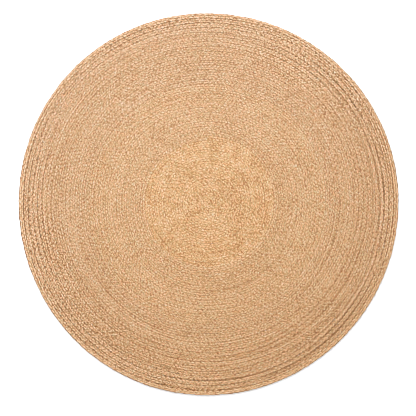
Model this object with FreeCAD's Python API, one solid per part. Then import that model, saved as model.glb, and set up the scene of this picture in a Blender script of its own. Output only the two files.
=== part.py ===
import FreeCAD, Part
import math
import os

# A round braided jute rug. Three lengths of flat three-strand braid are wound outwards as one
# spiral field, and five closed rings of the same braid make the border. Every seam between two
# turns is sewn with a lockstitch: a needle thread in the groove on top and a bobbin thread in the
# groove below. Butt joins between braid ends are closed with short stitches across the join.
# The underside lies on Z = 0, and the origin is the centre of the border rings.

# Driving dimensions, in millimetres.
RUG_DIAMETER = 1800.0
THICKNESS = 10.0
BORDER_RINGS = 5
FIELD_HALF_TURNS = 70
SEAM_GAP = 0.3
EDGE_RADIUS = 4.0

# The field is three spliced lengths. Each ends after this many half-turns from the centre.
INNER_END = 27
MIDDLE_END = 50

# Where the last length thins out against the border, in degrees from +X.
TAIL_TIP_ANGLE = 48.0

# Sewing thread, and the stitches that close a butt join.
THREAD_RADIUS = 0.7
THREAD_SIDES = 6
THREAD_CLEARANCE = 0.15
STITCHES_PER_JOIN = 3
STITCH_SPACING = 4.8
STITCH_LENGTH = 16.0
STITCH_RADIUS = 0.6
GROOVE_CLEARANCE = 0.2

# Each border ring's butt join is turned on from the one inside it, so that no two lie together.
FIRST_JOIN_ANGLE = 205.0
JOIN_TURN = 137.0

# Worked out from the above. Two half-turns make a pitch, and the border adds one pitch a ring.
PITCH = (RUG_DIAMETER + SEAM_GAP) / (FIELD_HALF_TURNS + 1 + 2 * BORDER_RINGS)
BRAID_WIDTH = PITCH - SEAM_GAP
FIELD_RADIUS = PITCH * (FIELD_HALF_TURNS + 1) / 2
THREAD_REACH = EDGE_RADIUS + THREAD_RADIUS + THREAD_CLEARANCE
THREAD_RISE = math.sqrt(THREAD_REACH ** 2 - (EDGE_RADIUS + SEAM_GAP / 2) ** 2)
NEEDLE_THREAD_HEIGHT = THICKNESS - EDGE_RADIUS + THREAD_RISE
BOBBIN_THREAD_HEIGHT = EDGE_RADIUS - THREAD_RISE
STITCH_HEIGHT = THICKNESS - STITCH_RADIUS - GROOVE_CLEARANCE

UP = FreeCAD.Vector(0, 0, 1)
RING_CENTRE = FreeCAD.Vector(0, 0, 0)
# Half-turns on the left side of the field are struck from the ring centre, and those on the right
# side from a point half a pitch along +Y, which is what makes the turns step outwards.
SPIRAL_CENTRE = FreeCAD.Vector(0, PITCH / 2, 0)


def corner(x, z, start_angle):
    """A quarter-circle edge of the section, turning from start_angle about the point (x, z)."""
    points = []
    for step in range(3):
        angle = math.radians(start_angle + 45 * step)
        offset_x = EDGE_RADIUS * math.cos(angle)
        offset_z = EDGE_RADIUS * math.sin(angle)
        points.append(FreeCAD.Vector(x + offset_x, 0, z + offset_z))
    return Part.Arc(*points).toShape()


def closed_face(edges):
    """The face inside arcs that follow one another, with straight lines in the gaps."""
    outline = []
    for edge, following in zip(edges, edges[1:] + edges[:1]):
        end = edge.valueAt(edge.LastParameter)
        start = following.valueAt(following.FirstParameter)
        outline.append(edge)
        if end.distanceToPoint(start) > 1e-6:
            outline.append(Part.makeLine(end, start))
    return Part.Face(Part.Wire(outline))


def braid_section(inner_radius, outer_radius):
    """The braid's section in the XZ plane: flat above and below, and round at both edges."""
    low = EDGE_RADIUS
    high = THICKNESS - EDGE_RADIUS
    near = inner_radius + EDGE_RADIUS
    far = outer_radius - EDGE_RADIUS
    corners = [
        corner(far, high, 0),
        corner(near, high, 90),
        corner(near, low, 180),
        corner(far, low, 270),
    ]
    return closed_face(corners)


def end_section(outer_radius):
    """Half of the braid's section, from the axis to one round edge."""
    far = outer_radius - EDGE_RADIUS
    upper = corner(far, THICKNESS - EDGE_RADIUS, 0)
    lower = corner(far, EDGE_RADIUS, 270)
    top = FreeCAD.Vector(0, 0, THICKNESS)
    bottom = FreeCAD.Vector(0, 0, 0)
    inner = Part.makeLine(top, bottom)
    return closed_face([upper, inner, lower])


def turned(section, centre, start_angle, sweep):
    """A section turned about a vertical axis, from start_angle, through sweep degrees."""
    face = section.copy()
    face.rotate(FreeCAD.Vector(0, 0, 0), UP, start_angle)
    face.translate(centre)
    return face.revolve(centre, UP, sweep)


def half_turn_start(index):
    """The centre and the first angle of a half-turn of the field, counted from the middle."""
    if index % 2 == 0:
        return SPIRAL_CENTRE, 270.0
    return RING_CENTRE, 90.0


def half_turn(index):
    """One half-turn of braid. Its centre line grows by half a pitch each time."""
    centre, start_angle = half_turn_start(index)
    centre_line = PITCH * (index + 1) / 2
    section = braid_section(centre_line - BRAID_WIDTH / 2, centre_line + BRAID_WIDTH / 2)
    return turned(section, centre, start_angle, 180)


def start_cap():
    """The round end that the braid starts with, folded into the hollow of the first turn."""
    return turned(end_section(BRAID_WIDTH / 2), RING_CENTRE, 90, 180)


def tail():
    """The last half-turn, thinned from the full width until it lies into the round outline."""
    outer_edge = FIELD_RADIUS - SEAM_GAP / 2
    inner_edge = FIELD_RADIUS - PITCH / 2 + SEAM_GAP / 2
    outer_side = braid_section(outer_edge - 2 * PITCH, outer_edge)
    inner_side = braid_section(inner_edge, inner_edge + 2 * PITCH)
    sweep = TAIL_TIP_ANGLE + 90
    outer_band = turned(outer_side, RING_CENTRE, 270, sweep)
    inner_band = turned(inner_side, SPIRAL_CENTRE, 270, 180)
    return outer_band.common(inner_band)


def joined(pieces):
    """One solid from pieces that meet face to face."""
    solid = pieces[0].multiFuse(pieces[1:]).removeSplitter()
    if len(solid.Solids) != 1 or not solid.isValid():
        raise ValueError("the pieces did not join into one solid")
    return solid.Solids[0]


def at_join(shape, centre, radius, angle):
    """A shape drawn at the origin, with X pointing outwards, moved to a place on a turn."""
    placed = shape.copy()
    placed.translate(FreeCAD.Vector(radius, 0, 0))
    placed.rotate(FreeCAD.Vector(0, 0, 0), UP, angle)
    placed.translate(centre)
    return placed


def stitch_offsets():
    """How far each stitch of a join lies from the middle of the braid."""
    middle = (STITCHES_PER_JOIN - 1) / 2
    return [STITCH_SPACING * (number - middle) for number in range(STITCHES_PER_JOIN)]


def join_stitches(centre, radius, angle):
    """The short stitches that cross a butt join, each a separate solid."""
    stitches = []
    for offset in stitch_offsets():
        start = FreeCAD.Vector(offset, -STITCH_LENGTH / 2, STITCH_HEIGHT)
        along = FreeCAD.Vector(0, 1, 0)
        bar = Part.makeCylinder(STITCH_RADIUS, STITCH_LENGTH, start, along)
        stitches.append(at_join(bar, centre, radius, angle))
    return Part.makeCompound(stitches)


def join_cutters(centre, radius, angle):
    """What a butt join takes away: the gap between the ends, and a groove for each stitch."""
    gap_corner = FreeCAD.Vector(-PITCH / 2, -SEAM_GAP / 2, -1)
    cutters = [Part.makeBox(PITCH, SEAM_GAP, THICKNESS + 2, gap_corner)]
    half_width = STITCH_RADIUS + GROOVE_CLEARANCE
    depth = THICKNESS - STITCH_HEIGHT + half_width
    length = STITCH_LENGTH + 2 * GROOVE_CLEARANCE
    for offset in stitch_offsets():
        groove_corner = FreeCAD.Vector(offset - half_width, -length / 2, THICKNESS - depth)
        cutters.append(Part.makeBox(2 * half_width, length, depth + 1, groove_corner))
    return [at_join(cutter, centre, radius, angle) for cutter in cutters]


def splice_place(index):
    """Where a half-turn meets the one before it: its centre, its radius and its angle."""
    centre, start_angle = half_turn_start(index)
    return centre, PITCH * (index + 1) / 2, start_angle


def ring_radius(number):
    """The centre line of a border ring, counted outwards from 1."""
    return FIELD_RADIUS + PITCH * (number - 0.5)


def ring_join_place(number):
    """Where a border ring's two ends meet."""
    angle = FIRST_JOIN_ANGLE + JOIN_TURN * (number - 1)
    return RING_CENTRE, ring_radius(number), angle


def border_ring(number):
    """A closed ring of braid with its butt join."""
    radius = ring_radius(number)
    section = braid_section(radius - BRAID_WIDTH / 2, radius + BRAID_WIDTH / 2)
    ring = turned(section, RING_CENTRE, 0, 360)
    return ring.cut(join_cutters(*ring_join_place(number)))


def thread_section(radius):
    """A thread's section in the XZ plane, six-sided inside its round outline."""
    points = []
    for side in range(THREAD_SIDES + 1):
        angle = 2 * math.pi * side / THREAD_SIDES
        offset_x = THREAD_RADIUS * math.cos(angle)
        offset_z = THREAD_RADIUS * math.sin(angle)
        points.append(FreeCAD.Vector(radius + offset_x, 0, offset_z))
    return Part.Face(Part.makePolygon(points))


def field_thread():
    """The thread in the field's spiral seam, from the start cap to the tip of the tail."""
    runs = []
    for index in range(FIELD_HALF_TURNS):
        seam_radius = PITCH * (index + 1) / 2
        if index % 2 == 0:
            centre, start_angle = RING_CENTRE, 90.0
        else:
            centre, start_angle = SPIRAL_CENTRE, 270.0
        sweep = 180.0
        if index == FIELD_HALF_TURNS - 1:
            sweep = TAIL_TIP_ANGLE + 90.0
        runs.append(turned(thread_section(seam_radius), centre, start_angle, sweep))
    return joined(runs)


def border_thread(number):
    """The closed thread in the seam on the inner side of a border ring."""
    seam_radius = FIELD_RADIUS + PITCH * (number - 1)
    return turned(thread_section(seam_radius), RING_CENTRE, 0, 360)


def needle_and_bobbin(thread, names):
    """The two threads of a seam, by name, from one thread drawn at Z = 0."""
    return {
        names.format("needle"): thread.translated(UP * NEEDLE_THREAD_HEIGHT),
        names.format("bobbin"): thread.translated(UP * BOBBIN_THREAD_HEIGHT),
    }


def field_lengths():
    """The three lengths of the field braid, by name."""
    half_turns = [half_turn(index) for index in range(FIELD_HALF_TURNS)]
    inner = joined([start_cap()] + half_turns[:INNER_END])
    middle = joined(half_turns[INNER_END:MIDDLE_END])
    outer = joined(half_turns[MIDDLE_END:] + [tail()])
    first_splice = join_cutters(*splice_place(INNER_END))
    second_splice = join_cutters(*splice_place(MIDDLE_END))
    return {
        "field_braid_inner": inner.cut(first_splice),
        "field_braid_middle": middle.cut(first_splice + second_splice),
        "field_braid_outer": outer.cut(second_splice),
    }


def rug_parts():
    """Every piece of the rug, by name."""
    parts = field_lengths()
    parts["field_splice_stitches_1"] = join_stitches(*splice_place(INNER_END))
    parts["field_splice_stitches_2"] = join_stitches(*splice_place(MIDDLE_END))
    parts.update(needle_and_bobbin(field_thread(), "field_{}_thread"))
    for number in range(1, BORDER_RINGS + 1):
        parts[f"border_ring_{number}"] = border_ring(number)
        parts[f"border_join_stitches_{number}"] = join_stitches(*ring_join_place(number))
        names = "border_{}_thread_" + str(number)
        parts.update(needle_and_bobbin(border_thread(number), names))
    return parts


os.makedirs("parts", exist_ok=True)
for name, shape in rug_parts().items():
    if not shape.isValid():
        raise ValueError(f"{name} is not a valid shape")
    shape.exportStep(f"parts/{name}.step")
    print(name, len(shape.Solids), "solids", round(shape.Volume / 1000), "cm3")
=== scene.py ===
import math

import bpy
import numpy as np
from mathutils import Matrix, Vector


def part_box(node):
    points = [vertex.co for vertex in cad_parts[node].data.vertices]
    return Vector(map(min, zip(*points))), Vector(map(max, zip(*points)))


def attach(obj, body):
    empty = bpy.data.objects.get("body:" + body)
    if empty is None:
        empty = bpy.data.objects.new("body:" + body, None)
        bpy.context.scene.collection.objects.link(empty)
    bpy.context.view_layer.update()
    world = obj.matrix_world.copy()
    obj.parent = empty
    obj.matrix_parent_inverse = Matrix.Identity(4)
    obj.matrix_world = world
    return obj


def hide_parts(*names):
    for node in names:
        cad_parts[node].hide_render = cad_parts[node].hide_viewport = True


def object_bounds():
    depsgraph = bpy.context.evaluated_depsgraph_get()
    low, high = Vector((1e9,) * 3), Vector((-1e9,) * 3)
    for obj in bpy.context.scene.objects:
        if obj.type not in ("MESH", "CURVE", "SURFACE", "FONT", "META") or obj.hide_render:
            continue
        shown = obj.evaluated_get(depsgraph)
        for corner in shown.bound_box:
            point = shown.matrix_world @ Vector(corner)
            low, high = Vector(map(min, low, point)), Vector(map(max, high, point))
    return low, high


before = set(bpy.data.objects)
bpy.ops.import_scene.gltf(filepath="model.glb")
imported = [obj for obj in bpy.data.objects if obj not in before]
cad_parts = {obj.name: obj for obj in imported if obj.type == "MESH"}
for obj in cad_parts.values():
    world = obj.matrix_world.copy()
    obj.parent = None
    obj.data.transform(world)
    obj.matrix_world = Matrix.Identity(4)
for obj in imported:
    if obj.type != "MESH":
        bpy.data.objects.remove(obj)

# A round rug of flat three-strand jute braid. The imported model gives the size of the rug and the
# places of its seams. Every length of braid is rebuilt here strand by strand, and every seam gets
# its stitches. All sizes are in metres.

cad_low, cad_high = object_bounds()

# The rug's layout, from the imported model.
BORDER_RINGS = sum(name.startswith("border_ring_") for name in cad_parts)
RUG_RADIUS = cad_high.x
THICKNESS = cad_high.z
ring_reach = [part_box(f"border_ring_{ring}")[1].x for ring in range(1, BORDER_RINGS + 1)]
PITCH = (ring_reach[-1] - ring_reach[0]) / (BORDER_RINGS - 1)
FIELD_HALF_TURNS = round(2 * RUG_RADIUS / PITCH) - 1 - 2 * BORDER_RINGS
FIELD_RADIUS = PITCH * (FIELD_HALF_TURNS + 1) / 2

# A half-turn on the right of the field is struck from a point half a pitch along +Y, and one on
# the left from the ring centre. The last half-turn is the tail, which thins to its tip.
SPIRAL_CENTRE_Y = PITCH / 2
INNER_END = round((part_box("field_braid_inner")[1].y - PITCH / 2) * 2 / PITCH) - 1
MIDDLE_END = round((-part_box("field_braid_middle")[0].y - PITCH / 2) * 2 / PITCH)
TAIL_TIP_ANGLE = math.radians(48)

# The butt join of the innermost ring, and the turn from each ring's join to the next one's.
FIRST_JOIN_ANGLE = math.radians(205)
JOIN_TURN = math.radians(137)

# The start cap is round, and cut off flat at this share of its length.
CAP_CUT = 0.98

# The braid. Each strand swings across the braid and over and under the other two, and stays a
# while at each edge. It is made of three yarns, twisted together. At the tail's tip, where the
# braid has no width left, its strands keep a share of their height.
STRANDS = 3
EDGE_DWELL = 0.12
STRAND_SQUARENESS = 0.8
YARN_RIDGES = 3
YARN_RELIEF = 0.11
YARN_TWIST_LENGTH = 0.038
TIP_HEIGHT_SHARE = 0.4

# The strands' meshes.
RING_SPACING = 0.0036
STRAND_SIDES = 12
FACES_PER_PIECE = 90000

# How uneven the braid is: how far each thing wanders, and over what length of braid. The beat is
# the angle, in radians, of the strands' swing.
PLACE_WANDER = (0.0006, 0.03)
SHORT_BEAT_WANDER = (1.3, 0.06)
LONG_BEAT_WANDER = (2.0, 0.5)
WIDTH_WANDER = (0.10, 0.02)
LONG_TONE_WANDER = (0.04, 0.9)
SHORT_TONE_WANDER = (0.03, 0.012)


def braid_weave(period, fill, width, thickness, braid_tone, painted_groove_shade, painted_edge_shade):
    """The measures of one braid.

    Its strands repeat over the period. Fill and width are the braid's and one strand's, as shares
    of the pitch, and thickness is a strand's, as a share of the rug's. The tones say how much
    lighter the whole braid is, and how much painted shade darkens its grooves and its very edges.
    """
    return {
        "period": period, "fill": fill, "width": width * PITCH, "thickness": thickness * THICKNESS,
        "braid_tone": braid_tone, "painted_groove_shade": painted_groove_shade, "painted_edge_shade": painted_edge_shade,
    }


# Neighbouring turns are pressed into one another, a little more in the field than in the border.
# The border is braided more loosely from ring to ring outwards. A tone of 1 would carry the colour
# from dark to light.
FIELD_WEAVE = braid_weave(0.055, 1.09, 0.49, 0.60, 0.0, 0.035, 0.07)
BORDER_WEAVES = (
    braid_weave(0.054, 1.08, 0.48, 0.56, -0.02, -0.01, 0.07),
    braid_weave(0.057, 1.05, 0.48, 0.55, 0.04, 0.0, 0.17),
    braid_weave(0.063, 1.04, 0.475, 0.54, 0.03, 0.0, 0.18),
    braid_weave(0.069, 1.06, 0.47, 0.52, -0.01, 0.10, 0.05),
    braid_weave(0.074, 1.06, 0.50, 0.55, 0.02, 0.13, -0.02),
)
PAINTED_EDGE_SHADE_WIDTH = 0.0032

# Towards the middle of the rug the painted shade at the edges fades away and the lines fade by
# half, with this power of the reach.
RIM_POWER = 3

# Turns of the field that are paler or darker than the rest: how many pitches each is from the
# middle, and how much lighter it is.
TURN_TONES = (
    (3.1, -0.02), (8.7, -0.01), (10.5, 0.01), (13.1, 0.01), (14.9, -0.013),
    (19.7, 0.016), (27.1, 0.01), (30.7, 0.013), (32.4, -0.015),
)

# Light and dark lines that run along a braid and come and go over a length of it. Each number of
# waves to a pitch has its own lines.
LINE_TONE = 0.085
LINE_LENGTH = 0.3
LINE_WAVES = (1.0, 1.5, 2.0, 2.5)

# The lines are fainter towards one side of the rug, and the painted shade of the edges half as much
# so.
FAINT_SIDE = (math.cos(math.radians(83)), math.sin(math.radians(83)))
FAINT_SHARE = 0.65

# Sewing thread. The needle thread zigzags over a seam, and the bobbin thread runs straight below.
THREAD_RADIUS = 0.00065
THREAD_SIDES = 5
STITCH_STEP = 0.006
STITCH_REACH = 0.0024
NEEDLE_HEIGHT = 0.79 * THICKNESS
NEEDLE_DIP = 0.0022
BOBBIN_HEIGHT = 0.14 * THICKNESS
BOBBIN_STEP = 0.008

# The short stitches over a butt join.
JOIN_STITCHES = 3
JOIN_STITCH_SPACING = 0.0048
JOIN_STITCH_LENGTH = 0.016
# Points along one stitch, as shares of its length, and how far below the top of the rug each is.
JOIN_STITCH_SHARES = np.array([-0.5, -0.46, -0.25, 0.0, 0.25, 0.46, 0.5])
JOIN_STITCH_DEPTHS = np.array([0.003, 0.0012, 0.0002, 0.0, 0.0002, 0.0012, 0.003])

# How far the rug is from a true circle, as slow waves round its outline: how many waves each
# makes, how high they are and the angle of one peak.
OUTLINE_WAVES = ((2, 0.0025, math.radians(85)), (3, 0.0027, math.radians(15)))

# Seams that have pulled a little open: how many half-pitches the seam is from the middle, and the
# angles in degrees between which it gapes. In the field an odd number is on the left, and an even
# one on the right. The border's seams are all odd. Each side of a seam moves by the opening, and
# has painted shade over the shade's width. The fade is the angle over which a gap closes at each
# end.
SLACK_SEAMS = (
    (25, 205, 270), (32, 290, 317), (38, 268, 318), (42, 5, 48), (56, 295, 365),
    (57, 198, 247), (60, 285, 312), (63, 211, 256), (64, 284, 338), (67, 218, 258),
    (68, 290, 345), (69, 230, 268), (71, 278, 326), (73, 6, 60), (73, 296, 350),
    (75, 2, 50), (75, 272, 331), (77, 288, 345),
)
SLACK_OPENING = 0.0011
SLACK_PAINTED_SHADE = 0.07
SLACK_PAINTED_SHADE_WIDTH = 0.004
SLACK_FADE = math.radians(8)

generator = np.random.default_rng(7)


def smooth_noise(distance, amount, apart):
    """Smooth random numbers up to an amount either way, with new ones every apart of length."""
    place = (distance - distance[0]) / apart
    index = place.astype(int)
    knots = generator.uniform(-1, 1, index[-1] + 2)
    blend = place - index
    blend = blend * blend * (3 - 2 * blend)
    return amount * (knots[index] * (1 - blend) + knots[index + 1] * blend)


# Centre lines. Each gives, at every distance along it, the point, the outward direction and the
# share of its full width that the braid has there.

half_turn_radii = PITCH * (np.arange(FIELD_HALF_TURNS) + 1) / 2
half_turn_starts = np.concatenate(([0.0], np.cumsum(math.pi * half_turn_radii)))
tail_radius = FIELD_RADIUS - PITCH / 4
field_length = half_turn_starts[-1] + tail_radius * (TAIL_TIP_ANGLE + math.pi / 2)


def field_line(distance):
    """The field braid's centre line, from the start cap at a distance below 0 to the tail."""
    index = np.searchsorted(half_turn_starts, distance, side="right") - 1
    in_cap = index < 0
    turn = np.maximum(index, 0)
    in_tail = turn == FIELD_HALF_TURNS
    on_right = turn % 2 == 0
    radius = PITCH * (turn + 1) / 2
    swept = (distance - half_turn_starts[turn]) / radius
    tail_swept = (distance - half_turn_starts[-1]) / tail_radius
    swept = np.where(in_tail, tail_swept, swept)
    angle = np.where(on_right, -math.pi / 2, math.pi / 2) + swept
    angle = np.where(in_cap, -math.pi / 2, angle)
    width = np.where(in_tail, (1 - np.sin(angle)) / 2, 1.0)
    cap_share = np.clip(-distance / (PITCH / 2), 0, CAP_CUT)
    width = np.where(in_cap, np.sqrt(1 - cap_share ** 2), width)
    radius = np.where(in_tail, FIELD_RADIUS - width * PITCH / 2, radius)
    centre_y = np.where(on_right & ~in_tail, SPIRAL_CENTRE_Y, 0.0)
    outward = np.stack([np.cos(angle), np.sin(angle)], axis=1)
    points = outward * radius[:, None]
    points[:, 1] += centre_y
    points[:, 0] += np.where(in_cap, distance, 0.0)
    return points, outward, width


def ring_line(radius, start_angle):
    """A circle about the ring centre, from start_angle anticlockwise."""
    def line(distance):
        angle = start_angle + distance / radius
        outward = np.stack([np.cos(angle), np.sin(angle)], axis=1)
        return outward * radius, outward, np.ones(len(distance))
    return line


def near_slack_seams(points):
    """For each slack seam, the way and how far out of it the points are, and how much it gapes."""
    for number, start, end in SLACK_SEAMS:
        x = points[..., 0]
        y = points[..., 1] - (0.0 if number % 2 else SPIRAL_CENTRE_Y)
        reach = np.hypot(x, y)
        outward = np.stack([x, y], axis=-1) / np.maximum(reach, PITCH / 2)[..., None]
        middle = math.radians(start + end) / 2
        half_span = math.radians(end - start) / 2
        off_middle = np.abs(np.angle(np.exp(1j * (np.arctan2(y, x) - middle))))
        gaping = np.clip((half_span - off_middle) / SLACK_FADE + 0.5, 0, 1)
        yield outward, reach - number * PITCH / 2, gaping


def painted_slack_shade(points):
    """How much painted shade darkens the braid beside the slack seams."""
    shade = np.zeros(points.shape[:-1])
    for _, away, gaping in near_slack_seams(points):
        shade += SLACK_PAINTED_SHADE * gaping * np.exp(-(away / SLACK_PAINTED_SHADE_WIDTH) ** 2)
    return shade


def turn_tone(points):
    """How much lighter or darker than the rest the turn is that the points are on."""
    turn = np.hypot(points[:, 0], points[:, 1]) / PITCH
    return sum(tone * np.exp(-(turn - middle) ** 2) for middle, tone in TURN_TONES)


def slackened(points):
    """Points moved away from any slack seam that is near them."""
    moved = points.copy()
    for outward, away, gaping in near_slack_seams(points):
        push = SLACK_OPENING * gaping * np.sign(away) * np.exp(-np.abs(away) / (2 * PITCH))
        moved[..., :2] += outward * push[..., None]
    return moved


def settled(points):
    """Points moved as the whole rug is: slack at some seams, and a little out of round.

    Every vertex of the rug goes through this, so that all its pieces keep their places together.
    """
    points = slackened(points)
    angle = np.arctan2(points[..., 1], points[..., 0])
    reach = np.hypot(points[..., 0], points[..., 1]) / RUG_RADIUS
    stretch = np.zeros_like(angle)
    for waves, height, peak in OUTLINE_WAVES:
        stretch += height / RUG_RADIUS * np.cos(waves * (angle - peak))
    moved = points.copy()
    moved[..., 0] *= 1 + stretch * reach
    moved[..., 1] *= 1 + stretch * reach
    return moved


def along_path(path):
    """The level and upright directions across a path."""
    forward = np.gradient(path, axis=0)
    forward /= np.linalg.norm(forward, axis=1)[:, None]
    level = np.cross(forward, (0.0, 0.0, 1.0))
    level /= np.linalg.norm(level, axis=1)[:, None]
    upright = np.cross(level, forward)
    return level, upright


def tube(path, half_width, half_height, sides, squareness=1.0, twist=None):
    """The rings of points of a tube with an oval section, with yarn ridges if it has a twist."""
    level, upright = along_path(path)
    around = -math.pi / 2 + 2 * math.pi * np.arange(sides) / sides
    swell = np.ones((len(path), sides))
    if twist is not None:
        swell += YARN_RELIEF * np.cos(YARN_RIDGES * around[None, :] + twist[:, None])
    round_across = np.sign(np.cos(around)) * np.abs(np.cos(around)) ** squareness
    round_rise = np.sign(np.sin(around)) * np.abs(np.sin(around)) ** squareness
    across = round_across[None, :] * swell * half_width[:, None]
    rise = round_rise[None, :] * swell * half_height[:, None]
    spread = level[:, None, :] * across[..., None] + upright[:, None, :] * rise[..., None]
    return path[:, None, :] + spread


def edge_strength(points, weave):
    """How strong the painted shade at the edges of a length of braid is, and how strong its lines
    are.
    """
    reach_share = np.minimum(1, np.hypot(points[:, 0], points[:, 1]) / FIELD_RADIUS)
    rim_share = reach_share ** RIM_POWER
    clear_share = 1 - FAINT_SHARE * np.maximum(0, points @ FAINT_SIDE / RUG_RADIUS)
    painted_edge_shade = weave["painted_edge_shade"] * (1 + clear_share) / 2 * rim_share
    line_tone = LINE_TONE * clear_share * (1 + rim_share) / 2
    return painted_edge_shade, line_tone


def braid_lines(distance, line_tone):
    """The lines along a length of braid: waves across it, and the strength of each kind."""
    lines = []
    for waves in LINE_WAVES:
        even = smooth_noise(distance, line_tone, LINE_LENGTH)
        odd = smooth_noise(distance, line_tone, LINE_LENGTH)
        lines.append((waves, even[:, None], odd[:, None]))
    return lines


def tone_across(across, weave, painted_edge_shade, lines):
    """How much lighter the braid is across it: painted shade at its edges and in its grooves, and
    its lines.
    """
    from_edge = (PITCH / 2 - np.abs(across)) / PAINTED_EDGE_SHADE_WIDTH
    place = 2 * math.pi * across / PITCH
    # Painted shade at the braid's very edges, where it meets the next turn, and along its middle
    # groove.
    tone = -painted_edge_shade[:, None] * np.exp(-from_edge ** 2)
    tone -= weave["painted_groove_shade"] * np.cos(2 * place)
    for waves, even, odd in lines:
        tone += even * np.cos(waves * place) + odd * np.sin(waves * place)
    return tone


def braid_strands(line, start, end, weave):
    """The three strands of a length of braid, each as rings of points with its tones."""
    count = round((end - start) / RING_SPACING)
    distance = np.linspace(start, end, count)
    points, outward, width = line(distance)
    points = points + outward * smooth_noise(distance, *PLACE_WANDER)[:, None]
    beat = 2 * math.pi * distance / weave["period"] + generator.uniform(0, 2 * math.pi)
    beat += smooth_noise(distance, *SHORT_BEAT_WANDER) + smooth_noise(distance, *LONG_BEAT_WANDER)
    reach = (PITCH * weave["fill"] - weave["width"]) / 2 / (1 - EDGE_DWELL)
    lift = (THICKNESS - weave["thickness"]) / 2
    painted_edge_shade, line_tone = edge_strength(points, weave)
    lines = braid_lines(distance, line_tone)
    strands = []
    for strand in range(STRANDS):
        angle = beat + 2 * math.pi * strand / STRANDS
        swing = np.cos(angle) - EDGE_DWELL * np.cos(3 * angle)
        path = np.zeros((count, 3))
        path[:, :2] = points + outward * (reach * swing * width)[:, None]
        path[:, 2] = THICKNESS / 2 + lift * np.sin(2 * angle)
        half_width = weave["width"] / 2 * width * (1 + smooth_noise(distance, *WIDTH_WANDER))
        half_height = weave["thickness"] / 2 * np.minimum(1, TIP_HEIGHT_SHARE + width)
        twist = 2 * math.pi * distance / YARN_TWIST_LENGTH + strand
        rings = tube(path, half_width, half_height, STRAND_SIDES, STRAND_SQUARENESS, twist)
        across = ((rings[..., :2] - points[:, None]) * outward[:, None]).sum(axis=2)
        tone = smooth_noise(distance, *LONG_TONE_WANDER)
        tone += smooth_noise(distance, *SHORT_TONE_WANDER)
        # Painted shade beside the slack seams is taken off the tone.
        tone = (tone + turn_tone(points))[:, None] + weave["braid_tone"] - painted_slack_shade(rings)
        tone += tone_across(across, weave, painted_edge_shade, lines)
        strands.append({"rings": rings, "tone": tone, "distance": distance})
    return strands


# The bake map lays every tube out in rows, one above another. The square of the number of rows is
# this share of the rings in a tube, so that a face keeps about its own shape.
BAKE_ROW_SHARE = 0.16
BAKE_ROW_MARGIN = 0.04


def tube_faces(tubes):
    """The faces of several tubes: their vertices, their sizes and their places on two maps."""
    loops = []
    sizes = []
    strand_map = []
    bake_map = []
    longest = max(part["rings"].shape[0] for part in tubes)
    sides = tubes[0]["rings"].shape[1]
    rows = max(1, round(math.sqrt(longest * BAKE_ROW_SHARE / len(tubes))))
    first = 0
    for number, part in enumerate(tubes):
        count = part["rings"].shape[0]
        ring, side = np.meshgrid(np.arange(count - 1), np.arange(sides), indexing="ij")
        ring = ring.ravel()
        side = side.ravel()
        beside = (side + 1) % sides
        corners = np.stack([
            first + ring * sides + side,
            first + ring * sides + beside,
            first + (ring + 1) * sides + beside,
            first + (ring + 1) * sides + side,
        ], axis=1)
        loops.append(corners.ravel())
        sizes.append(np.full(len(corners), 4))
        along = part["distance"]
        around = np.stack([side, side + 1, side + 1, side], axis=1) / sides
        lengthwise = np.stack([along[ring], along[ring], along[ring + 1], along[ring + 1]], axis=1)
        strand_map.append(np.stack([lengthwise, around + 2 * number], axis=2).reshape(-1, 2))
        per_row = math.ceil((count - 1) / rows)
        row = ring // per_row
        column = ring % per_row
        across = np.stack([column, column, column + 1, column + 1], axis=1) / per_row
        band = number * rows + row
        inside = BAKE_ROW_MARGIN + (1 - 2 * BAKE_ROW_MARGIN) * around
        up = (band[:, None] + inside) / (len(tubes) * rows)
        bake_map.append(np.stack([across, up], axis=2).reshape(-1, 2))
        for ring_index, order in ((0, -1), (count - 1, 1)):
            cap = first + ring_index * sides + np.arange(sides)[::order]
            loops.append(cap)
            sizes.append(np.array([sides]))
            spot = (along[ring_index], 2 * number + 0.5)
            strand_map.append(np.tile(spot, (sides, 1)))
            bake_spot = (float(ring_index > 0), (number * rows + 0.5) / (len(tubes) * rows))
            bake_map.append(np.tile(bake_spot, (sides, 1)))
        first += count * sides
    maps = {"strand": np.concatenate(strand_map), "OFBake": np.concatenate(bake_map)}
    return np.concatenate(loops), np.concatenate(sizes), maps


def piece_from_tubes(name, tubes, material, node):
    """One mesh object from several tubes, with the attributes that its material reads."""
    vertices = np.concatenate([settled(part["rings"]).reshape(-1, 3) for part in tubes])
    tones = np.concatenate([part["tone"].ravel() for part in tubes])
    loops, sizes, maps = tube_faces(tubes)
    mesh = bpy.data.meshes.new(name)
    mesh.vertices.add(len(vertices))
    mesh.vertices.foreach_set("co", vertices.astype(np.float32).ravel())
    mesh.loops.add(len(loops))
    mesh.loops.foreach_set("vertex_index", loops.astype(np.int32))
    mesh.polygons.add(len(sizes))
    mesh.polygons.foreach_set("loop_start", (np.cumsum(sizes) - sizes).astype(np.int32))
    mesh.update(calc_edges=True)
    mesh.polygons.foreach_set("use_smooth", np.ones(len(sizes), bool))
    for map_name, places in maps.items():
        layer = mesh.uv_layers.new(name=map_name)
        layer.data.foreach_set("uv", places.astype(np.float32).ravel())
    attribute = mesh.attributes.new("tone", "FLOAT", "POINT")
    attribute.data.foreach_set("value", tones.astype(np.float32))
    mesh.materials.append(material)
    mesh.validate()
    piece = bpy.data.objects.new(name, mesh)
    bpy.context.scene.collection.objects.link(piece)
    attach(piece, "root")
    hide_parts(node)
    return piece


# Materials. The contrasts say how far each kind of noise carries the colour from the middle tone
# towards the dark or the light one. The scales say how often each noise changes. Those of fibres,
# flecks, hues and plies are for a metre along a strand and for once round it, the bands' are for a
# metre outwards and for the bearing, and the patches' are for a metre each way.

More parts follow.
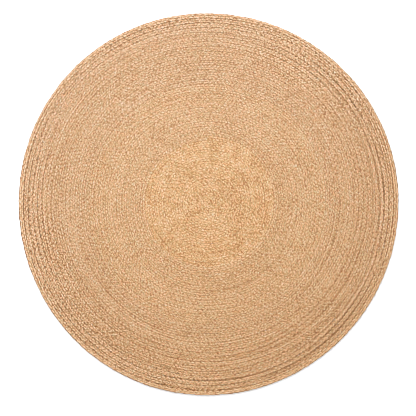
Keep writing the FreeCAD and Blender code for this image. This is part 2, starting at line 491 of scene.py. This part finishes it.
FIBRE_CONTRAST = 2.5
FIBRE_SCALE = (70, 26, 1)
FLECK_CONTRAST = 1.4
FLECK_SCALE = (150, 10, 1)
BAND_CONTRAST = 0.04
BAND_SCALE = (30, 1.6, 1.6)
PATCH_SCALE = (25, 25, 25)
PLY_SCALE = (900, 2, 1)

# The height above or below the rug's middle at which the colour is neither darker nor lighter:
# nearer the middle the strands' sides and valleys get painted shade, further out their tops get
# painted light.
NEUTRAL_HEIGHT = 0.85 * THICKNESS / 2

# Fibres differ in hue, from redder to greener.
HUE_SCALE = (80, 6, 1)
REDDER_TINT = (1.0, 0.83, 0.73, 1.0)
GREENER_TINT = (0.84, 1.0, 0.98, 1.0)

# Painted light: the rug's colour is painted paler and cooler towards the side the key light comes
# from.
LIT_SIDE = math.radians(112)
PAINTED_LIT_TINT = (0.985, 1.015, 1.08, 1.0)
PAINTED_FAR_TINT = (1.0, 0.965, 0.89, 1.0)


def srgb(red, green, blue):
    """A colour in linear light from its 0 to 255 screen values."""
    levels = []
    for value in (red, green, blue):
        share = value / 255
        low = share <= 0.04045
        levels.append(share / 12.92 if low else ((share + 0.055) / 1.055) ** 2.4)
    return (*levels, 1.0)


class Nodes:
    """A short way to build a material's node tree."""

    def __init__(self, name):
        self.material = bpy.data.materials.new(name)
        self.material.use_nodes = True
        self.tree = self.material.node_tree
        self.shader = self.tree.nodes["Principled BSDF"]

    def add(self, kind, inputs=None, **settings):
        node = self.tree.nodes.new(kind)
        for key, value in settings.items():
            setattr(node, key, value)
        for key, value in (inputs or {}).items():
            if isinstance(value, bpy.types.NodeSocket):
                self.tree.links.new(value, node.inputs[key])
            else:
                node.inputs[key].default_value = value
        return node

    def weighted(self, base, *terms):
        """base, plus for each term its value less its middle, times its weight."""
        total = base
        for value, middle, weight in terms:
            part = self.add(
                "ShaderNodeMath", {0: value, 1: middle}, operation="SUBTRACT"
            ).outputs[0]
            total = self.add(
                "ShaderNodeMath", {0: part, 1: weight, 2: total}, operation="MULTIPLY_ADD"
            ).outputs[0]
        return total

    def ramp(self, factor, *stops):
        """The colour at a factor along a ramp through stops of a position and a colour."""
        node = self.add("ShaderNodeValToRGB", {"Fac": factor})
        elements = node.color_ramp.elements
        for element, (position, colour) in zip(elements, (stops[0], stops[-1])):
            element.position = position
            element.color = colour
        for position, colour in stops[1:-1]:
            elements.new(position).color = colour
        return node.outputs["Color"]

    def multiplied(self, first, second):
        """Two colours multiplied."""
        node = self.add("ShaderNodeMix", data_type="RGBA", blend_type="MULTIPLY")
        node.inputs["Factor"].default_value = 1.0
        self.tree.links.new(first, node.inputs[6])
        self.tree.links.new(second, node.inputs[7])
        return node.outputs[2]

    def noise(self, vector, scale, detail, seed=0.0):
        """Noise in the space of a vector, stretched by a scale."""
        place = self.add(
            "ShaderNodeMapping", {"Vector": vector, "Location": (seed, seed, 0), "Scale": scale}
        ).outputs[0]
        inputs = {"Vector": place, "Scale": 1.0, "Detail": detail}
        return self.add("ShaderNodeTexNoise", inputs).outputs["Fac"]


def polar_place(nodes, place):
    """How far out a place is, and its bearing."""
    flat = nodes.add("ShaderNodeVectorMath", {0: place, 1: (1, 1, 0)}, operation="MULTIPLY")
    reach = nodes.add("ShaderNodeVectorMath", {0: flat.outputs[0]}, operation="LENGTH")
    heading = nodes.add("ShaderNodeVectorMath", {0: flat.outputs[0]}, operation="NORMALIZE")
    bearing = nodes.add("ShaderNodeSeparateXYZ", {"Vector": heading.outputs[0]})
    return nodes.add("ShaderNodeCombineXYZ", {
        "X": reach.outputs["Value"], "Y": bearing.outputs["X"], "Z": bearing.outputs["Y"],
    }).outputs[0]


def height_off_middle(nodes, place):
    """How far above or below the rug's middle height a place is."""
    axes = nodes.add("ShaderNodeSeparateXYZ", {"Vector": place})
    rise = nodes.add(
        "ShaderNodeMath", {0: axes.outputs["Z"], 1: THICKNESS / 2}, operation="SUBTRACT"
    )
    return nodes.add("ShaderNodeMath", {0: rise.outputs[0]}, operation="ABSOLUTE").outputs[0]


def painted_side_light(nodes, place):
    """The painted tint from the rug's far side to the side the key light comes from, paler and
    cooler there.
    """
    sideways = (math.cos(LIT_SIDE) / RUG_RADIUS, math.sin(LIT_SIDE) / RUG_RADIUS, 0)
    side = nodes.add("ShaderNodeVectorMath", {0: place, 1: sideways}, operation="DOT_PRODUCT")
    share = nodes.add("ShaderNodeMapRange", {"Value": side.outputs["Value"], "From Min": -1.0})
    return nodes.ramp(share.outputs[0], (0.0, PAINTED_FAR_TINT), (1.0, PAINTED_LIT_TINT))


def jute_material(name, dark, middle, light, painted_valley_shade, patch_contrast, seed):
    """Jute braid: fibres, flecks and hues along each strand, patches, and bands along the turns."""
    nodes = Nodes(name)
    strand = nodes.add("ShaderNodeUVMap", uv_map="strand").outputs[0]
    place = nodes.add("ShaderNodeTexCoord").outputs["Object"]
    fibres = nodes.noise(strand, FIBRE_SCALE, 3.0, seed)
    flecks = nodes.noise(strand, FLECK_SCALE, 1.0, seed)
    bands = nodes.noise(polar_place(nodes, place), BAND_SCALE, 1.0, seed)
    patches = nodes.noise(place, PATCH_SCALE, 1.0, seed)
    tone = nodes.add("ShaderNodeAttribute", attribute_name="tone").outputs["Fac"]
    height = height_off_middle(nodes, place)
    shade = nodes.weighted(0.5, (fibres, 0.5, FIBRE_CONTRAST), (flecks, 0.5, FLECK_CONTRAST))
    shade = nodes.weighted(shade, (bands, 0.5, BAND_CONTRAST))
    # Painted shade on the strands' sides and in the valleys near the rug's middle height, painted
    # light on their tops.
    shade = nodes.weighted(shade, (height, NEUTRAL_HEIGHT, painted_valley_shade))
    shade = nodes.weighted(shade, (tone, 0.0, 1.0), (patches, 0.5, patch_contrast))
    fibre_colour = nodes.ramp(shade, (0.0, dark), (0.5, middle), (1.0, light))
    hues = nodes.noise(strand, HUE_SCALE, 1.0, seed)
    tint = nodes.ramp(hues, (0.3, REDDER_TINT), (0.7, GREENER_TINT))
    colour = nodes.multiplied(nodes.multiplied(fibre_colour, tint), painted_side_light(nodes, place))
    nodes.tree.links.new(colour, nodes.shader.inputs["Base Color"])
    rough = nodes.add("ShaderNodeMapRange", {"Value": fibres, "To Min": 0.72, "To Max": 0.95})
    nodes.tree.links.new(rough.outputs[0], nodes.shader.inputs["Roughness"])
    bump = nodes.add("ShaderNodeBump", {"Strength": 0.6, "Distance": 0.0006, "Height": fibres})
    nodes.tree.links.new(bump.outputs[0], nodes.shader.inputs["Normal"])
    nodes.shader.inputs["Specular IOR Level"].default_value = 0.25
    nodes.shader.inputs["Sheen Weight"].default_value = 0.15
    nodes.shader.inputs["Sheen Roughness"].default_value = 0.6
    return nodes.material


def thread_material():
    """Twisted sewing thread, a little darker than the braid it sits in."""
    nodes = Nodes("sewing_thread")
    strand = nodes.add("ShaderNodeUVMap", uv_map="strand").outputs[0]
    plies = nodes.noise(strand, PLY_SCALE, 2.0)
    colour = nodes.ramp(plies, (0.3, srgb(150, 108, 68)), (0.7, srgb(196, 154, 110)))
    nodes.tree.links.new(colour, nodes.shader.inputs["Base Color"])
    nodes.shader.inputs["Roughness"].default_value = 0.85
    nodes.shader.inputs["Specular IOR Level"].default_value = 0.25
    return nodes.material


# The painted valley shade, darker on the strands' sides and lighter on their tops, is for a metre
# of height.
JUTE_LOOKS = {
    "jute_warm": {
        "dark": srgb(146, 86, 14), "middle": srgb(230, 185, 135), "light": srgb(246, 222, 204),
        "painted_valley_shade": 99, "patch_contrast": 0.5, "seed": 1.0,
    },
    "jute_pale": {
        "dark": srgb(138, 81, 16), "middle": srgb(224, 181, 136), "light": srgb(243, 219, 202),
        "painted_valley_shade": 99, "patch_contrast": 0.16, "seed": 2.0,
    },
    "jute_mid": {
        "dark": srgb(132, 77, 14), "middle": srgb(221, 178, 135), "light": srgb(241, 216, 199),
        "painted_valley_shade": 99, "patch_contrast": 0.16, "seed": 3.0,
    },
    "jute_border": {
        "dark": srgb(120, 67, 10), "middle": srgb(219, 175, 131), "light": srgb(241, 215, 198),
        "painted_valley_shade": 62, "patch_contrast": 0.1, "seed": 4.0,
    },
}
jute = {name: jute_material(name, **look) for name, look in JUTE_LOOKS.items()}
thread = thread_material()


# The pieces.

def braid_pieces(name, node, slot, line, start, end, weave):
    """A length of braid, cut into as many pieces as its faces need."""
    tubes = braid_strands(line, start, end, weave)
    rings = len(tubes[0]["distance"])
    parts = math.ceil(rings * STRANDS * STRAND_SIDES / FACES_PER_PIECE)
    cuts = np.linspace(0, rings - 1, parts + 1).astype(int)
    for number, (first, last) in enumerate(zip(cuts[:-1], cuts[1:]), 1):
        part = [{key: values[first:last + 1] for key, values in tube.items()} for tube in tubes]
        part_name = f"{name}_{number}" if parts > 1 else name
        piece_from_tubes(part_name, part, jute[slot], node)


def field_braids():
    """The three spliced lengths of the field."""
    inner_start = -PITCH / 2
    inner_end = half_turn_starts[INNER_END]
    middle_end = half_turn_starts[MIDDLE_END]
    spans = (
        ("inner", "jute_warm", inner_start, inner_end),
        ("middle", "jute_pale", inner_end, middle_end),
        ("outer", "jute_mid", middle_end, field_length),
    )
    for word, slot, start, end in spans:
        node = f"field_braid_{word}"
        braid_pieces(f"field_{word}_turns", node, slot, field_line, start, end, FIELD_WEAVE)


def ring_place(number):
    """A border ring's radius and the angle of its butt join."""
    return FIELD_RADIUS + PITCH * (number - 0.5), FIRST_JOIN_ANGLE + JOIN_TURN * (number - 1)


def border_braids():
    """The closed rings of the border."""
    for number in range(1, BORDER_RINGS + 1):
        radius, join_angle = ring_place(number)
        name = f"border_ring_{number}_braid"
        node = f"border_ring_{number}"
        line = ring_line(radius, join_angle)
        length = 2 * math.pi * radius
        braid_pieces(name, node, "jute_border", line, 0.0, length, BORDER_WEAVES[number - 1])


def thread_tube(path, distance):
    """A thread along a path, as a tube with its tones."""
    size = np.full(len(path), THREAD_RADIUS)
    rings = tube(path, size, size, THREAD_SIDES)
    return {"rings": rings, "tone": np.zeros(rings.shape[:2]), "distance": distance}


def needle_tube(line, start, end):
    """Zigzag stitches over a seam, down between the strands at each side."""
    count = 2 * round((end - start) / STITCH_STEP)
    distance = np.linspace(start, end, count)
    points, outward, _ = line(distance)
    step = np.arange(count)
    side = np.where(step % 2 == 0, np.where(step % 4 == 0, 1.0, -1.0), 0.0)
    path = np.zeros((count, 3))
    path[:, :2] = points + outward * (side * STITCH_REACH)[:, None]
    path[:, 2] = NEEDLE_HEIGHT - NEEDLE_DIP * np.abs(side)
    return thread_tube(path, distance)


def bobbin_tube(line, start, end):
    """The straight thread on the underside of a seam."""
    count = round((end - start) / BOBBIN_STEP)
    distance = np.linspace(start, end, count)
    points, _, _ = line(distance)
    path = np.column_stack([points, np.full(count, BOBBIN_HEIGHT)])
    return thread_tube(path, distance)


def seam_line(distance):
    """The field's spiral seam, half a pitch outside the braid's centre line."""
    index = np.searchsorted(half_turn_starts, distance, side="right") - 1
    turn = np.minimum(index, FIELD_HALF_TURNS - 1)
    radius = PITCH * (turn + 1) / 2
    on_left = turn % 2 == 0
    swept = (distance - half_turn_starts[turn]) / radius
    angle = np.where(on_left, math.pi / 2, -math.pi / 2) + swept
    outward = np.stack([np.cos(angle), np.sin(angle)], axis=1)
    points = outward * radius[:, None]
    points[:, 1] += np.where(on_left, 0.0, SPIRAL_CENTRE_Y)
    return points, outward, np.ones(len(distance))


def seam_threads():
    """The needle and bobbin threads of every seam."""
    last_radius = half_turn_radii[-1]
    seam_end = half_turn_starts[-2] + last_radius * (TAIL_TIP_ANGLE + math.pi / 2)
    cuts = (0.0, half_turn_starts[INNER_END], half_turn_starts[MIDDLE_END], seam_end)
    words = ("inner", "middle", "outer")
    for word, start, end in zip(words, cuts[:-1], cuts[1:]):
        for kind, maker in (("needle", needle_tube), ("bobbin", bobbin_tube)):
            tubes = [maker(seam_line, start, end)]
            name = f"field_{kind}_thread_{word}"
            piece_from_tubes(name, tubes, thread, f"field_{kind}_thread")
    for number in range(1, BORDER_RINGS + 1):
        radius = FIELD_RADIUS + PITCH * (number - 1)
        line = ring_line(radius, 0.0)
        for kind, maker in (("needle", needle_tube), ("bobbin", bobbin_tube)):
            tubes = [maker(line, 0.0, 2 * math.pi * radius)]
            node = f"border_{kind}_thread_{number}"
            piece_from_tubes(f"{node}_stitches", tubes, thread, node)


def join_stitches(name, node, line, distance):
    """Short stitches over a butt join, each from one braid end down into the other."""
    points, outward, _ = line(distance + JOIN_STITCH_SHARES * JOIN_STITCH_LENGTH)
    tubes = []
    for number in range(JOIN_STITCHES):
        offset = JOIN_STITCH_SPACING * (number - (JOIN_STITCHES - 1) / 2)
        path = np.column_stack([points + outward * offset, THICKNESS - JOIN_STITCH_DEPTHS])
        tubes.append(thread_tube(path, JOIN_STITCH_SHARES))
    piece_from_tubes(name, tubes, thread, node)


def all_join_stitches():
    """The stitches over the field's two splices and over each ring's join."""
    for number, half_turn in enumerate((INNER_END, MIDDLE_END), 1):
        node = f"field_splice_stitches_{number}"
        join_stitches(f"{node}_sewn", node, field_line, half_turn_starts[half_turn])
    for number in range(1, BORDER_RINGS + 1):
        node = f"border_join_stitches_{number}"
        join_stitches(f"{node}_sewn", node, ring_line(*ring_place(number)), 0.0)


# The camera, straight above, with a little more room below the rug than above it.
VIEW_WIDTH = 1.0947 * 2 * RUG_RADIUS
CAMERA_HEIGHT = 5.0
CAMERA_OFFSET = (-0.0009, -0.0196)
SENSOR_WIDTH = 36

# The studio.
KEY_PLACE = (-1.1, 3.3, 3.8)
KEY_SIZE = 3.0
KEY_WATTS = 203
SURROUND_STRENGTH = 0.84
FLOOR_COLOUR = (0.96, 0.96, 0.96, 1.0)
FLOOR_HALF = 15.0
PIXEL_FILTER = 0.5


def add_camera():
    camera = bpy.data.objects.new("camera", bpy.data.cameras.new("camera"))
    camera.data.sensor_width = SENSOR_WIDTH
    camera.data.lens = SENSOR_WIDTH * CAMERA_HEIGHT / VIEW_WIDTH
    camera.location = (*CAMERA_OFFSET, CAMERA_HEIGHT)
    bpy.context.scene.collection.objects.link(camera)
    bpy.context.scene.camera = camera


def add_surround():
    """An even, pale light from all round."""
    world = bpy.data.worlds.new("studio")
    world.use_nodes = True
    background = world.node_tree.nodes["Background"]
    background.inputs["Color"].default_value = (1.0, 1.0, 1.0, 1.0)
    background.inputs["Strength"].default_value = SURROUND_STRENGTH
    bpy.context.scene.world = world


def add_key_light():
    """One large soft light from beyond the top of the rug, a little to the left."""
    light = bpy.data.lights.new("key", "AREA")
    light.size = KEY_SIZE
    light.energy = KEY_WATTS
    lamp = bpy.data.objects.new("key", light)
    lamp.location = KEY_PLACE
    towards = -lamp.location
    lamp.rotation_euler = towards.to_track_quat("-Z", "Y").to_euler()
    bpy.context.scene.collection.objects.link(lamp)


def add_floor():
    """A plain pale floor."""
    nodes = Nodes("floor")
    nodes.shader.inputs["Base Color"].default_value = FLOOR_COLOUR
    nodes.shader.inputs["Roughness"].default_value = 0.9
    nodes.shader.inputs["Specular IOR Level"].default_value = 0.0
    signs = ((-1, -1), (1, -1), (1, 1), (-1, 1))
    corners = [(FLOOR_HALF * right, FLOOR_HALF * up, 0) for right, up in signs]
    mesh = bpy.data.meshes.new("floor")
    mesh.from_pydata(corners, [], [(0, 1, 2, 3)])
    mesh.materials.append(nodes.material)
    floor = bpy.data.objects.new("floor", mesh)
    bpy.context.scene.collection.objects.link(floor)


add_camera()
add_surround()
add_key_light()
add_floor()
bpy.context.scene.view_settings.view_transform = "Standard"
bpy.context.scene.cycles.filter_width = PIXEL_FILTER
field_braids()
border_braids()
seam_threads()
all_join_stitches()
